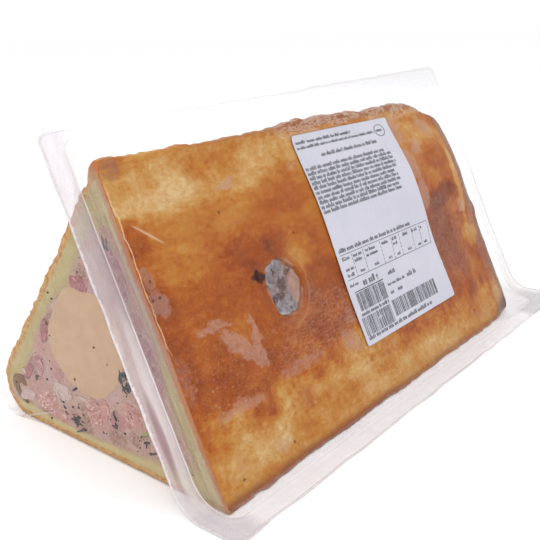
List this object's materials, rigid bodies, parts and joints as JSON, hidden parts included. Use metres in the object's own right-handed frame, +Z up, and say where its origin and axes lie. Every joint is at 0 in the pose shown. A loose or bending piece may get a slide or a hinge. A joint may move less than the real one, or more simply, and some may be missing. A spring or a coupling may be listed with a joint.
{
  "type": "pate en croute in a clear film pack",
  "caption": "Half loaf of pate in golden pastry, triangular in section with a cut end, a chimney hole of jelly in its lid, and a blank label on its clear film pack.",
  "frame": {"origin": "under the middle of the pack, on the surface it rests on", "axes": "+X along the loaf from its cut end to its far end, +Z up, the lid faces -Y and up"},
  "size_m": [0.295, 0.149, 0.1335],
  "materials": {
    "crust": "baked golden-brown pastry under clinging film",
    "forcemeat": "moist pink coarse forcemeat",
    "liver": "smooth beige liver",
    "jelly": "set grey-brown jelly",
    "ham": "cured pink meat",
    "fat": "pale cured fat",
    "mushroom": "black mushroom",
    "film": "clear glossy packing film",
    "label": "white self-adhesive paper"
  },
  "bodies": {
    "root": {"crust": "crust", "forcemeat": "forcemeat", "liver_core": "liver", "aspic_seam": "jelly", "chimney_jelly": "jelly", "ham_chunk_1": "ham", "ham_chunk_2": "ham", "ham_chunk_3": "ham", "ham_chunk_4": "ham", "ham_chunk_5": "ham", "ham_chunk_6": "ham", "fat_chunk_1": "fat", "fat_chunk_2": "fat", "fat_chunk_3": "fat", "mushroom_1": "mushroom", "mushroom_2": "mushroom", "mushroom_3": "mushroom", "mushroom_4": "mushroom", "film_pack": "film", "label": "label"}
  },
  "joints": []
}
